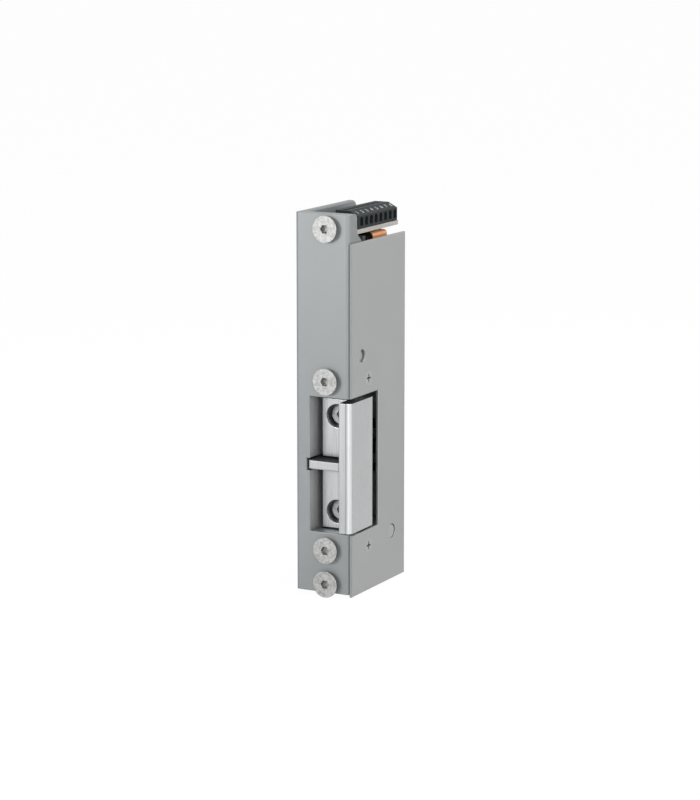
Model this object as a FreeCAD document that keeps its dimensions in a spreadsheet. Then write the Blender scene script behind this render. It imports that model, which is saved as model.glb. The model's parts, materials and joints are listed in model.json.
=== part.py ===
import FreeCAD
import Part
import Sketcher
import os
import re

# Electric door strike, escape-door type with an adjustable keeper jaw.
# Frame: +X towards the removable side cover, +Y into the door frame, +Z up.
# Origin: on the fixing-screw centreline, in the front (faceplate seat) plane,
# level with the middle of the latch opening. Millimetres throughout.

doc = FreeCAD.newDocument("DoorStrike")

# ---------------------------------------------------------------- driving sizes
sizes = {
    # housing
    "housing_left": 13.0,
    "housing_right": 9.2,
    "housing_bottom": 47.5,
    "housing_top": 92.5,
    "housing_depth": 44.2,
    "front_wall": 6.0,
    "side_wall": 4.4,
    "wall_root": 0.5,
    "end_wall": 3.0,
    "rear_wall": 1.6,
    "rear_wall_top": 80.0,
    "rear_bevel": 1.4,
    "upper_wall": 2.2,
    "upper_wall_z": 87.5,
    "top_corner_radius": 2.6,
    "front_top_radius": 2.0,
    "edge_radius": 1.4,
    "rim_radius": 0.9,
    "landing_width": 2.5,
    "landing_depth": 6.0,
    "landing_height": 20.0,
    "landing_slope": 2.3,
    "landing_rise": 3.2,
    # latch opening
    "opening_top": 25.4,
    "opening_bottom": 25.0,
    "jamb_depth": 6.8,
    "jamb_x": 7.25,
    "feeler_notch_half": 2.3,
    # ribs that carry the hinge pins and the middle screws
    "rib_start": 28.4,
    "rib_height": 6.0,
    "rib_rear": 20.0,
    # side cover
    "cover_sheet": 1.0,
    "cover_front_step": 0.1,
    "cover_depth": 42.7,
    "cover_bottom": 48.3,
    "cover_top": 82.0,
    "cover_opening_depth": 21.2,
    "cover_opening_margin": 0.25,
    "cover_edge": 0.35,
    # fixing screws, M5
    "fixing_radius": 2.5,
    "fixing_head_radius": 4.9,
        "fixing_length": 10.0,
    "fixing_hex": 3.0,
    "fixing_rim": 0.25,
    "fixing_socket": 2.0,
    "fixing_proud": 1.9,
    "fixing_top_z": 87.1,
    "fixing_mid_z": 31.4,
    "fixing_low_z": 44.1,
    # cover screws, M3, and the two cover pins
    "cover_screw_radius": 1.5,
    "cover_screw_head_radius": 2.85,
    "cover_screw_length": 4.0,
    "cover_screw_y": 13.3,
    "locating_pin_y": 8.0,
    "locating_pin_z": 40.4,
    "locating_pin_radius": 1.7,
    "locating_hole_radius": 2.4,
    "rear_pin_y": 32.0,
    "rear_pin_z": 29.85,
    "rear_pin_radius": 2.6,
    "rear_pin_depth": 5.8,
    "locating_pin_depth": 4.8,
    "boss_wall": 2.0,
    "cross_recess_depth": 0.9,
    "cross_recess_reach": 1.5,
    "cross_recess_half": 0.28,
    # keeper hinge
    "hinge_x": 4.1,
    "hinge_y": 15.0,
    "hinge_pin_radius": 1.5,
    "hub_radius": 2.6,
    "hub_neck_radius": 1.65,
    "hub_top": 28.1,
    "pin_inner_end": 21.0,
    "lock_lug_reach": 7.0,
    "lock_lug_half": 1.2,
    "lock_lug_bottom": 24.8,
    "lock_lug_top": 27.5,
    "lock_lug_root": 1.9,
    # keeper jaw and carrier
    "keeper_gap_top": 1.5,
    "keeper_gap_bottom": 0.6,
    "carrier_margin": 0.2,
    "lip_x": 5.2,
    "lip_front": 1.0,
    "lip_edge": 0.5,
    "jaw_corner_radius": 2.2,
    "jaw_outer_front_x": 10.15,
    "jaw_outer_rear_x": 10.0,
    "jaw_rear": 16.6,
    "jaw_tail_x": 7.1,
    "jaw_plate_left": 5.1,
    "jaw_plate_front": 6.1,
    "jaw_plate_rear": 12.0,
    "slot_half": 2.25,
    "carrier_left": 4.8,
    "carrier_right": 6.4,
    "carrier_rear": 18.5,
    "carrier_gap": 0.2,
    "spring_bay_low": 14.0,
    "spring_bay_high": 7.0,
    # jaw clamp screws, M4 low head
    "clamp_x": 0.9,
    "clamp_z": 17.9,
    "clamp_radius": 2.0,
    "clamp_head_radius": 3.5,
    "clamp_head_height": 2.0,
    "clamp_pocket_radius": 4.4,
    "clamp_web": 1.0,
    "clamp_length": 7.6,
    "clamp_hex": 3.0,
    "clamp_socket": 1.3,
    "adjust_in": 0.3,
    "adjust_out": 0.8,
    # latch feeler
    "feeler_half": 1.75,
    "feeler_left": 8.2,
    "feeler_right": 4.8,
    "feeler_bar": 6.0,
    "stem_right": 0.5,
    "stem_left": 3.0,
    "stem_pocket_start": 14.0,
    "feeler_foot": 1.6,
    "feeler_foot_left": 7.4,
    "feeler_pocket_left": 8.0,
    "feeler_tip_bevel": 0.9,
    "feeler_edge": 0.5,
    "feeler_stroke": 4.6,
    "guide_start": 20.5,
    "guide_end": 24.0,
    "guide_width": 2.0,
    "post_start": 25.0,
    "post_end": 26.8,
    "post_right": 3.4,
    "post_margin": 0.15,
    "guide_right": 4.0,
    # switches, sub-miniature snap-action
    "switch_thick": 6.4,
    "switch_deep": 8.4,
    "switch_tall": 20.0,
    "switch_screw_pitch": 9.5,
    "switch_screw_radius": 1.0,
    "switch_screw_inset": 2.4,
    "switch_screw_bite": 2.3,
    "switch_head_radius": 1.9,
    "switch_head_height": 1.3,
    "plunger_bore_depth": 4.0,
    "plunger_hidden": 2.6,
    "plunger_radius": 0.8,
    "plunger_travel": 1.0,
    "button_gap": 0.8,
    "monitor_button": 0.7,
    "monitor_z": 50.0,
    "spring_seat_front": 14.0,
    "spring_seat_rear": 18.0,
    "spring_seat_right": 2.8,
    "spring_seat_rise": 3.0,
    "spring_seat_height": 5.0,
    # locking lever and solenoid
    "pivot_y": 21.5,
    "pivot_z": 65.6,
    "pivot_radius": 1.25,
    "pivot_bite": 2.4,
    "boss_radius": 2.4,
    "armature_front": 18.4,
    "armature_thick": 2.0,
    "armature_left": 7.6,
    "armature_right": 5.0,
    "armature_top": 82.6,
    "leg_front": 24.6,
    "leg_thick": 2.0,
    "leg_left": 6.5,
    "leg_narrow_z": 37.0,
    "nose_left": 0.5,
    "nose_right": 2.7,
    "nose_front": 23.2,
    "nose_bottom": 24.8,
    "nose_top": 28.0,
    "coil_x": 1.0,
    "coil_z": 76.0,
    "coil_half": 7.4,
    "coil_front": 23.2,
    "coil_rear": 35.6,
    "coil_corner": 1.4,
    "coil_end_round": 0.7,
    "coil_clear": 0.2,
    "flange": 0.6,
    "flange_drop": 1.6,
    "core_radius": 3.0,
    "core_tail_radius": 2.0,
    "core_front": 21.9,
    "tube_wall": 0.8,
    "yoke_thick": 2.0,
    "yoke_overhang": 1.3,
    "yoke_back_rise": 4.8,
    "yoke_screw_x": 4.6,
    "yoke_screw_inset": 3.2,
    "yoke_ledge_height": 3.0,
    "small_screw_radius": 1.25,
    # board and terminals
    "board_left": 8.0,
    "board_right": 6.5,
    "board_front": 11.2,
    "board_rear": 43.9,
    "board_bottom": 84.2,
    "board_thick": 1.6,
    "board_screw_x": 6.1,
    "board_head_radius": 2.0,
    "diode_x": 5.6,
    "diode_radius": 1.3,
    "board_screw_front_y": 13.6,
    "board_screw_rear_y": 40.4,
    "board_ledge_reach": 2.1,
    "board_ledge_height": 5.0,
    "block_left": 3.0,
    "block_right": 6.3,
    "block_front": 12.4,
    "block_rear": 43.5,
    "block_top": 92.5,
    "block_slope_x": 2.7,
    "block_slope_drop": 1.9,
    "pole_pitch": 3.81,
    "pole_first_y": 15.1,
    "lead_half": 0.4,
    "lead_hole_radius": 0.62,
    "wire_entry_width": 2.4,
    "wire_entry_low": 86.8,
    "wire_entry_high": 90.1,
    "terminal_screw_radius": 1.2,
    "terminal_screw_hole": 1.4,
    "terminal_shank_radius": 0.8,
    "cage_left": 1.8,
    "cage_right": 4.6,
    # clearances
    "running": 0.05,
    "screw_gap": 0.02,
    "sliding": 0.1,
    "loose": 0.3,
}
pole_count = 8

sheet = doc.addObject("Spreadsheet::Sheet", "Sizes")
for row, (alias, number) in enumerate(sizes.items(), start=1):
    sheet.set(f"A{row}", alias)
    sheet.set(f"B{row}", str(number))
    sheet.setAlias(f"B{row}", alias)
doc.recompute()

X_AXIS = FreeCAD.Rotation(FreeCAD.Vector(0, 1, 0), 90)
Y_AXIS = FreeCAD.Rotation(FreeCAD.Vector(1, 0, 0), -90)
Z_AXIS = FreeCAD.Rotation()
AXES = {"x": X_AXIS, "y": Y_AXIS, "z": Z_AXIS}


# ------------------------------------------------------------------- small helpers
def formula(text):
    """Words that are sheet aliases become cell references."""
    return re.sub(r"[a-z_]+", lambda m: f"Sizes.{m[0]}" if m[0] in sizes else m[0], str(text))


def bind(feature, name, text):
    feature.setExpression(name, formula(text))


def value(text):
    """The number a formula gives with the sheet's own cell values."""
    cells = {alias: float(sheet.get(alias)) for alias in sizes}
    names = re.findall(r"[a-z_]+", str(text))
    if len(names) == 1 and str(text) == names[0]:
        return cells[names[0]]
    probe = doc.addObject("App::FeaturePython", "Probe")
    probe.addProperty("App::PropertyFloat", "Result")
    probe.setExpression("Result", formula(text))
    probe.recompute()
    result = probe.Result
    doc.removeObject(probe.Name)
    return result


def place(feature, x, y, z, axis="z"):
    feature.Placement = FreeCAD.Placement(FreeCAD.Vector(), AXES[axis])
    bind(feature, "Placement.Base.x", x)
    bind(feature, "Placement.Base.y", y)
    bind(feature, "Placement.Base.z", z)
    return feature


def box(x, y, z, name="Block"):
    """A block from (low, high) pairs of formulas along X, Y and Z."""
    block = doc.addObject("Part::Box", name)
    for side, (low, high) in zip(("Length", "Width", "Height"), (x, y, z)):
        bind(block, side, f"({high}) - ({low})")
    return place(block, x[0], y[0], z[0])


def rod(axis, at, radius, length, name="Rod"):
    """A cylinder along an axis, from its start point."""
    cylinder = doc.addObject("Part::Cylinder", name)
    bind(cylinder, "Radius", radius)
    bind(cylinder, "Height", length)
    return place(cylinder, *at, axis)


def cone(axis, at, start_radius, end_radius, length, name="Taper"):
    taper = doc.addObject("Part::Cone", name)
    bind(taper, "Radius1", start_radius)
    bind(taper, "Radius2", end_radius)
    bind(taper, "Height", length)
    return place(taper, *at, axis)


def prism(sides, axis, at, across, length, name="Prism"):
    """A regular prism given by its width across flats."""
    solid = doc.addObject("Part::Prism", name)
    solid.Polygon = sides
    bind(solid, "Circumradius", f"({across}) / 2 / cos(180 / {sides})")
    bind(solid, "Height", length)
    return place(solid, *at, axis)


def fuse(*shapes, name="Joined"):
    joined = doc.addObject("Part::MultiFuse", name)
    joined.Shapes = list(shapes)
    joined.Refine = True
    return joined


def cut(base, *tools, name="Cut"):
    result = doc.addObject("Part::Cut", name)
    result.Base = base
    result.Tool = tools[0] if len(tools) == 1 else fuse(*tools)
    result.Refine = True
    return result


def group(*shapes):
    """Separate solids kept side by side in one node."""
    compound = doc.addObject("Part::Compound", "Set")
    compound.Links = list(shapes)
    return compound


def rounded(base, radius, chosen, name="Rounded"):
    """Round every edge whose middle point and bounding box pass the test."""
    doc.recompute()
    edges = [i for i, edge in enumerate(base.Shape.Edges, start=1) if chosen(edge.BoundBox)]
    if not edges:
        raise RuntimeError(f"no edge to round on {base.Name}")
    soft = doc.addObject("Part::Fillet", name)
    soft.Base = base
    soft.Edges = [(i, value(radius), value(radius)) for i in edges]
    return soft


def near(a, b):
    return abs(a - b) < 0.01


def along(box_, axis):
    """True for a straight edge that runs along one axis."""
    spans = {"x": box_.XLength, "y": box_.YLength, "z": box_.ZLength}
    return spans[axis] > 0.5 and all(spans[o] < 0.01 for o in spans if o != axis)


def sketch(body, role, corners=(), circles=(), level=0, name="Outline"):
    """A closed outline and circles on an origin plane, every point bound to the sheet."""
    drawing = body.newObject("Sketcher::SketchObject", name)
    plane = next(f for f in body.Origin.OriginFeatures if f.Role == role)
    drawing.AttachmentSupport = [(plane, "")]
    drawing.MapMode = "FlatFace"
    bind(drawing, "AttachmentOffset.Base.z", level)
    points = [FreeCAD.Vector(value(u), value(v), 0) for u, v in corners]
    for start, end in zip(points, points[1:] + points[:1]):
        drawing.addGeometry(Part.LineSegment(start, end))
    for i in range(len(points)):
        drawing.addConstraint(Sketcher.Constraint("Coincident", i, 2, (i + 1) % len(points), 1))
    for i, (corner, point) in enumerate(zip(corners, points)):
        pin_point(drawing, i, 1, corner, point)
    for centre_u, centre_v, radius in circles:
        centre = FreeCAD.Vector(value(centre_u), value(centre_v), 0)
        circle = Part.Circle(centre, FreeCAD.Vector(0, 0, 1), value(radius))
        index = drawing.addGeometry(circle)
        constraint = drawing.addConstraint(Sketcher.Constraint("Radius", index, value(radius)))
        bind(drawing, f"Constraints[{constraint}]", radius)
        pin_point(drawing, index, 3, (centre_u, centre_v), centre)
    return drawing


def pin_point(drawing, geometry, vertex, formulas, point):
    for kind, text, number in zip(("DistanceX", "DistanceY"), formulas, (point.x, point.y)):
        pinned = Sketcher.Constraint(kind, -1, 1, geometry, vertex, number)
        constraint = drawing.addConstraint(pinned)
        bind(drawing, f"Constraints[{constraint}]", text)


def padded(role, corners, level, length, circles=(), name="Body"):
    """A body with one outline pushed out along the plane's normal."""
    body = doc.addObject("PartDesign::Body", name)
    outline = sketch(body, role, corners, circles, level)
    pad = body.newObject("PartDesign::Pad", "Pad")
    pad.Profile = outline
    bind(pad, "Length", length)
    doc.recompute()
    return body


def pocket(body, role, level, depth, corners=(), circles=(), reverse=False):
    """Cut an outline or circles into a body, and make sure that metal came off."""
    before = body.Shape.Volume
    outline = sketch(body, role, corners, circles, level, "Recess")
    hole = body.newObject("PartDesign::Pocket", "Pocket")
    hole.Profile = outline
    hole.Reversed = reverse
    bind(hole, "Length", depth)
    doc.recompute()
    if body.Shape.Volume > before - 1e-6:
        raise RuntimeError(f"a pocket of {body.Name} cuts nothing")
    return hole


def body_round(body, radius, chosen):
    names = [f"Edge{i}" for i, e in enumerate(body.Shape.Edges, start=1) if chosen(e.BoundBox)]
    if not names:
        raise RuntimeError(f"no edge to round on {body.Name}")
    base = body.Tip
    soft = body.newObject("PartDesign::Fillet", "Fillet")
    soft.Base = (base, names)
    bind(soft, "Radius", radius)
    doc.recompute()


nodes = []


def keep(feature, label):
    feature.Label = label
    nodes.append(feature)
    return feature


left_inner = "(side_wall - housing_left)"
rib_end = "(rib_start + rib_height)"
board_top = "(board_bottom + board_thick)"
fixing_levels = ("fixing_top_z", "fixing_mid_z", "-fixing_mid_z", "-fixing_low_z")
pole_levels = [f"pole_first_y + {i} * pole_pitch" for i in range(pole_count)]
switch_right = f"{left_inner} + switch_thick"
switch_middle = f"{left_inner} + switch_thick / 2"
tube_radius = "(core_radius + running + tube_wall)"
feeler_switch_front = "post_end + loose + feeler_foot + feeler_stroke + button_gap"
monitor_switch_front = "leg_front + leg_thick + sliding + monitor_button"
armature_rear = "(armature_front + armature_thick)"
yoke_rear = "(coil_rear + flange + yoke_thick)"
yoke_bottom = "(coil_z - coil_half - coil_clear - yoke_thick)"
yoke_screw_y = "coil_rear - yoke_screw_inset"
pivot_start = f"{left_inner} - pivot_bite"
near_wall = f"{left_inner} - wall_root"
cover_face = "(housing_right + cover_sheet)"
sink_depth = "(cover_screw_head_radius - cover_screw_radius)"
clamp_seat = "(jaw_plate_rear - clamp_web - running)"
keeper_top = "(opening_top - keeper_gap_top)"
keeper_bottom = "(opening_bottom - keeper_gap_bottom)"
clamp_levels = [f"({keeper_top} - {keeper_bottom}) / 2 {sign} clamp_z" for sign in ("+", "-")]
carrier_front = "jaw_plate_rear + carrier_gap"


# ------------------------------------------------------------------------- housing
def housing_block():
    """Outer block with its room, rear window, latch mouth, notch and rear bevel."""
    shell = box(("-housing_left", "housing_right"), (0, "housing_depth"),
                ("-housing_bottom", "housing_top"), name="CaseBlock")
    beyond = "housing_right + 1"
    room = box((left_inner, beyond), ("front_wall", "housing_depth - rear_wall"),
               ("end_wall - housing_bottom", "housing_top + 1"))
    rear_window = box((left_inner, beyond), ("housing_depth - rear_wall - 1", "housing_depth + 1"),
                      ("rear_wall_top", "housing_top + 1"))
    thinned = box(("upper_wall - housing_left", beyond), ("front_wall", "housing_depth + 1"),
                  ("upper_wall_z", "housing_top + 1"))
    mouth = box(("-jamb_x", beyond), (-1, "front_wall + 1"), ("-opening_bottom", "opening_top"))
    notch = box((left_inner, "0"), (-1, "front_wall + 1"), ("-feeler_notch_half", "feeler_notch_half"))
    bevel = padded("XY_Plane", [("housing_right - rear_bevel", "housing_depth + 0.001"),
                                ("housing_right + 0.001", "housing_depth - rear_bevel"),
                                ("housing_right + 1", "housing_depth + 1")],
                   "-housing_bottom - 1", "housing_bottom + housing_top + 2", name="Bevel")
    return cut(shell, room, rear_window, thinned, mouth, notch, bevel, name="OpenCase")


def housing_lands():
    """Everything cast onto the inside of the case: ribs, ledges, guides and bosses."""
    width = (left_inner, "housing_right")
    depth = ("front_wall - wall_root", "rib_rear")
    lands = [box(width, depth, ("rib_start", rib_end)), box(width, depth, (f"-{rib_end}", "-rib_start"))]
    for low, high in (("feeler_notch_half", "opening_top"), ("-opening_bottom", "-feeler_notch_half")):
        lands.append(box((left_inner, "-jamb_x"), ("front_wall - wall_root", "jamb_depth"), (low, high)))
    foot = "cover_top - landing_height"
    lands.append(padded("YZ_Plane", [
        ("front_wall - wall_root", foot), ("front_wall + landing_depth", foot),
        ("front_wall + landing_depth", "cover_top - landing_slope"),
        ("front_wall + landing_depth - landing_slope", "cover_top"),
        ("front_wall", "cover_top + landing_rise"), ("front_wall - wall_root", "cover_top + landing_rise")],
        "housing_right - landing_width", "landing_width", name="Landing"))
    ledge = (near_wall, "board_ledge_reach - board_screw_x")
    ledge_height = ("board_bottom - board_ledge_height", "board_bottom")
    lands.append(box(ledge, ("front_wall - wall_root", "board_screw_front_y + 2.6"), ledge_height))
    lands.append(box(ledge, ("board_screw_rear_y - 2.2", "housing_depth - rear_wall"), ledge_height))
    for low, high in (("feeler_half + sliding", "feeler_half + sliding + guide_width"),
                      ("-feeler_half - sliding - guide_width", "-feeler_half - sliding")):
        lands.append(box((near_wall, "-guide_right"), ("guide_start", "guide_end"), (low, high)))
    lands.append(box((near_wall, "-post_right"), ("post_start", "post_end"),
                     ("post_margin - feeler_half", "feeler_half - post_margin")))
    around = "(locating_pin_radius + boss_wall)"
    lands.append(box(("housing_right - 6", "housing_right"),
                     ("front_wall - wall_root", f"locating_pin_y + {around}"),
                     (f"locating_pin_z - {around}", f"locating_pin_z + {around}")))
    lands.append(rod("x", (near_wall, "rear_pin_y", "-rear_pin_z"), "rear_pin_radius + boss_wall",
                     f"housing_right - ({near_wall})"))
    lands.append(box((near_wall, "-spring_seat_right"), ("spring_seat_front", "spring_seat_rear"),
                     ("monitor_z + spring_seat_rise",
                      "monitor_z + spring_seat_rise + spring_seat_height")))
    lands.append(box((near_wall, "-1.5"), ("coil_front + 6", "coil_rear - 1"),
                     (f"{yoke_bottom} - yoke_ledge_height", yoke_bottom)))
    return lands


def housing_holes():
    """Every drilled and countersunk hole of the case."""
    holes = []
    sink = "(fixing_head_radius - fixing_radius - fixing_proud + fixing_rim)"
    for z in fixing_levels:
        holes.append(rod("y", (0, -1, z), "fixing_radius + screw_gap", "fixing_length + 1"))
        holes.append(cone("y", (0, 0, z), f"fixing_radius + running + {sink}",
                          "fixing_radius + running", sink))
    for z in ("rib_start - 1", f"-{rib_end} - 1"):
        holes.append(rod("z", ("hinge_x", "hinge_y", z), "hinge_pin_radius + screw_gap", "rib_height + 2"))
    for z in ("fixing_mid_z", "-fixing_mid_z"):
        holes.append(rod("x", ("housing_right - cover_screw_length", "cover_screw_y", z),
                         "cover_screw_radius + screw_gap", "cover_screw_length + 1"))
        holes.append(screw_sink(z))
    holes.append(rod("x", ("housing_right - locating_pin_depth - 0.2", "locating_pin_y", "locating_pin_z"),
                     "locating_pin_radius + screw_gap", "locating_pin_depth + 1.2"))
    holes.append(rod("x", ("housing_right - rear_pin_depth - 0.2", "rear_pin_y", "-rear_pin_z"),
                     "rear_pin_radius + screw_gap", "rear_pin_depth + 1.2"))
    holes.append(rod("x", (f"{pivot_start} - 0.2", "pivot_y", "pivot_z"), "pivot_radius + screw_gap", 3))
    for y in ("board_screw_front_y", "board_screw_rear_y"):
        holes.append(rod("z", ("-board_screw_x", y, "board_bottom - 4"),
                         "small_screw_radius + screw_gap", 5))
    for front, level in ((feeler_switch_front, "0"), (monitor_switch_front, "monitor_z")):
        for side in ("+", "-"):
            holes.append(rod("x", (f"{left_inner} - switch_screw_bite - 0.2",
                                   f"{front} + switch_deep - switch_screw_inset",
                                   f"{level} {side} switch_screw_pitch / 2"),
                             "switch_screw_radius + screw_gap", "switch_screw_bite + 1.2"))
    holes.append(rod("z", ("-yoke_screw_x", yoke_screw_y, f"{yoke_bottom} - 4"),
                     "small_screw_radius + screw_gap", 5))
    return holes


def housing():
    """Die-cast case: front wall, closed left side, ribs, lugs; open on top and right."""
    solid = fuse(housing_block(), *housing_lands(), name="CaseWithRibs")
    case = cut(solid, *housing_holes(), name="DrilledCase")
    right, left = value("housing_right"), -value("housing_left")
    top, rear = value("housing_top"), value("housing_depth")
    thin, front = value("upper_wall - housing_left"), value("front_wall")
    case = rounded(case, "edge_radius",
                   lambda b: along(b, "z") and near(b.XMin, right) and near(b.YMin, 0), "FrontRightRound")
    case = rounded(case, "edge_radius",
                   lambda b: along(b, "z") and near(b.XMin, left) and near(b.YMin, 0), "FrontLeftRound")
    case = rounded(case, "top_corner_radius",
                   lambda b: along(b, "x") and near(b.YMin, rear) and near(b.ZMin, top), "TopRearRound")
    case = rounded(case, "front_top_radius",
                   lambda b: along(b, "x") and near(b.YMin, front) and near(b.ZMin, top), "TopFrontRound")
    return rounded(case, "rim_radius",
                   lambda b: along(b, "y") and near(b.XMin, thin) and near(b.ZMin, top), "UpperRimRound")


# ------------------------------------------------------------- cover and its screws
def screw_sink(z):
    """The countersink that a cover screw's head sits in."""
    return cone("x", (f"{cover_face} - {sink_depth}", "cover_screw_y", z),
                "cover_screw_radius + screw_gap", "cover_screw_head_radius + screw_gap", sink_depth)


def side_cover():
    """Sheet cover with the open latch window and its screw and pin holes."""
    low, high = "-opening_bottom - cover_opening_margin", "opening_top + cover_opening_margin"
    corners = [("cover_front_step", "-cover_bottom"), ("cover_depth", "-cover_bottom"),
               ("cover_depth", "cover_top"), ("cover_front_step", "cover_top"),
               ("cover_front_step", high), ("cover_opening_depth", high),
               ("cover_opening_depth", low), ("cover_front_step", low)]
    body = padded("YZ_Plane", corners, "housing_right", "cover_sheet", name="Cover")
    pocket(body, "YZ_Plane", cover_face, "cover_sheet + 1",
           circles=[("locating_pin_y", "locating_pin_z", "locating_hole_radius"),
                    ("rear_pin_y", "-rear_pin_z", "rear_pin_radius + sliding")])
    face = value(cover_face)
    body_round(body, "cover_edge", lambda b: near(b.XMin, face) and near(b.XMax, face)
               and max(b.YLength, b.ZLength) > 8)
    sinks = [screw_sink(z) for z in ("fixing_mid_z", "-fixing_mid_z")]
    return cut(body, *sinks, name="DrilledCover")


def cover_screw(z):
    """Countersunk cross-recess screw, head flush with the cover."""
    head = cone("x", (f"{cover_face} - {sink_depth}", "cover_screw_y", z),
                "cover_screw_radius", "cover_screw_head_radius", sink_depth)
    shank = rod("x", (f"{cover_face} - cover_screw_length", "cover_screw_y", z), "cover_screw_radius",
                f"cover_screw_length - {sink_depth}")
    deep = (f"{cover_face} - cross_recess_depth", f"{cover_face} + 1")
    long_y = ("cover_screw_y - cross_recess_reach", "cover_screw_y + cross_recess_reach")
    thin_y = ("cover_screw_y - cross_recess_half", "cover_screw_y + cross_recess_half")
    long_z = (f"{z} - cross_recess_reach", f"{z} + cross_recess_reach")
    thin_z = (f"{z} - cross_recess_half", f"{z} + cross_recess_half")
    return cut(fuse(head, shank), box(deep, long_y, thin_z), box(deep, thin_y, long_z), name="CoverScrew")


def fixing_screw(z):
    """M5 countersunk hexagon-socket screw, head standing partly proud of the seat plane."""
    taper = "(fixing_head_radius - fixing_radius)"
    rim = rod("y", (0, "-fixing_proud", z), "fixing_head_radius", "fixing_rim")
    head = cone("y", (0, "fixing_rim - fixing_proud", z), "fixing_head_radius", "fixing_radius", taper)
    shank = rod("y", (0, f"fixing_rim - fixing_proud + {taper}", z), "fixing_radius",
                f"fixing_length - fixing_rim - {taper}")
    socket = prism(6, "y", (0, "-fixing_proud - 1", z), "fixing_hex", "fixing_socket + 1")
    return cut(fuse(rim, head, shank), socket, name="FixingScrew")


# -------------------------------------------------------------------------- keeper
def keeper_jaw():
    """L-shaped jaw: lip and side wall on the right, back plate with two clamp pockets."""
    corners = [("lip_x", "-lip_front"), ("jaw_outer_front_x", "-lip_front"),
               ("jaw_outer_rear_x", "jaw_rear"), ("jaw_tail_x", "jaw_rear"),
               ("jaw_tail_x", "jaw_plate_rear"), ("-jaw_plate_left", "jaw_plate_rear"),
               ("-jaw_plate_left", "jaw_plate_front"), ("lip_x", "jaw_plate_front")]
    body = padded("XY_Plane", corners, f"-{keeper_bottom}", f"{keeper_top} + {keeper_bottom}", name="Jaw")
    tail, lip = value("jaw_tail_x"), value("lip_x")
    body_round(body, "jaw_corner_radius", lambda b: along(b, "z") and b.XMin > tail and b.YMin < 0)
    body_round(body, "lip_edge", lambda b: along(b, "z") and near(b.XMin, lip) and b.YMin < 0)
    cuts = [box(("-jaw_plate_left - 1", "lip_x"), ("jaw_plate_front - 1", "jaw_plate_rear + 1"),
                ("-slot_half", "slot_half"))]
    reach = "(clamp_radius + sliding)"
    for z in clamp_levels:
        cuts.append(rod("y", ("clamp_x", "jaw_plate_front - 1", z), "clamp_pocket_radius",
                        "jaw_plate_rear - jaw_plate_front - clamp_web + 1"))
        cuts.append(box(("clamp_x - adjust_out", "clamp_x + adjust_in"),
                        ("jaw_plate_rear - 2", "jaw_plate_rear + 1"), (f"{z} - {reach}", f"{z} + {reach}")))
        for x in ("clamp_x - adjust_out", "clamp_x + adjust_in"):
            cuts.append(rod("y", (x, "jaw_plate_rear - 2", z), reach, 3))
    return cut(body, *cuts, name="JawCut")


def lug_block():
    """The hardened lug's block, also the tool that cuts its seat in the hub."""
    return box(("hinge_x - lock_lug_half", "hinge_x + lock_lug_half"),
               ("hinge_y + lock_lug_root", "hinge_y + lock_lug_reach"),
               ("lock_lug_bottom", "lock_lug_top"), name="Lug")


def keeper_carrier():
    """Hinged block behind the jaw: hub with the two pin bores and the spring neck."""
    across = ("-carrier_left - 1", "carrier_right + 1")
    through = (f"{carrier_front} - 1", "carrier_rear + 1")
    plate = box(("-carrier_left", "carrier_right"), (carrier_front, "carrier_rear"),
                (f"carrier_margin - {keeper_bottom}", f"{keeper_top} - carrier_margin"))
    corner_cut = box(("hinge_x", "carrier_right + 1"), ("hinge_y + 1.6", "carrier_rear + 1"),
                     (f"-{keeper_bottom}", keeper_top))
    slot = box(across, through, ("-slot_half", "slot_half"))
    bay = box(("stem_right", "carrier_right + 1"), through, ("-spring_bay_low", "-spring_bay_high"))
    spans = [("-hub_top", "-spring_bay_low"), ("-spring_bay_high", "hub_top")]
    hubs = [rod("z", ("hinge_x", "hinge_y", low), "hub_radius", f"{high} - ({low})") for low, high in spans]
    neck = rod("z", ("hinge_x", "hinge_y", "-spring_bay_low - 1"), "hub_neck_radius",
               "spring_bay_low - spring_bay_high + 2")
    solid = fuse(cut(plate, corner_cut, slot, bay), *hubs, neck, name="CarrierSolid")
    cuts = [rod("z", ("hinge_x", "hinge_y", z), "hinge_pin_radius + running", "hub_top - pin_inner_end + 1.5")
            for z in ("pin_inner_end - 0.5", "-hub_top - 1")]
    cuts += [rod("y", ("clamp_x", f"{carrier_front} - 1", z), "clamp_radius + screw_gap",
                 "clamp_length - clamp_web + 1") for z in clamp_levels]
    cuts.append(lug_block())
    return cut(solid, *cuts, name="Carrier")


def clamp_screw(z):
    """Low-head socket screw that holds the jaw to the carrier."""
    head = rod("y", ("clamp_x", f"{clamp_seat} - clamp_head_height", z), "clamp_head_radius",
               "clamp_head_height")
    shank = rod("y", ("clamp_x", f"{clamp_seat} - 0.5", z), "clamp_radius", "clamp_length - 0.7")
    socket = prism(6, "y", ("clamp_x", f"{clamp_seat} - clamp_head_height - 1", z), "clamp_hex",
                   "clamp_socket + 1")
    return cut(fuse(head, shank), socket, name="ClampScrew")


def hinge_pin(low):
    return rod("z", ("hinge_x", "hinge_y", low), "hinge_pin_radius", f"{rib_end} - pin_inner_end", "HingePin")


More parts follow.
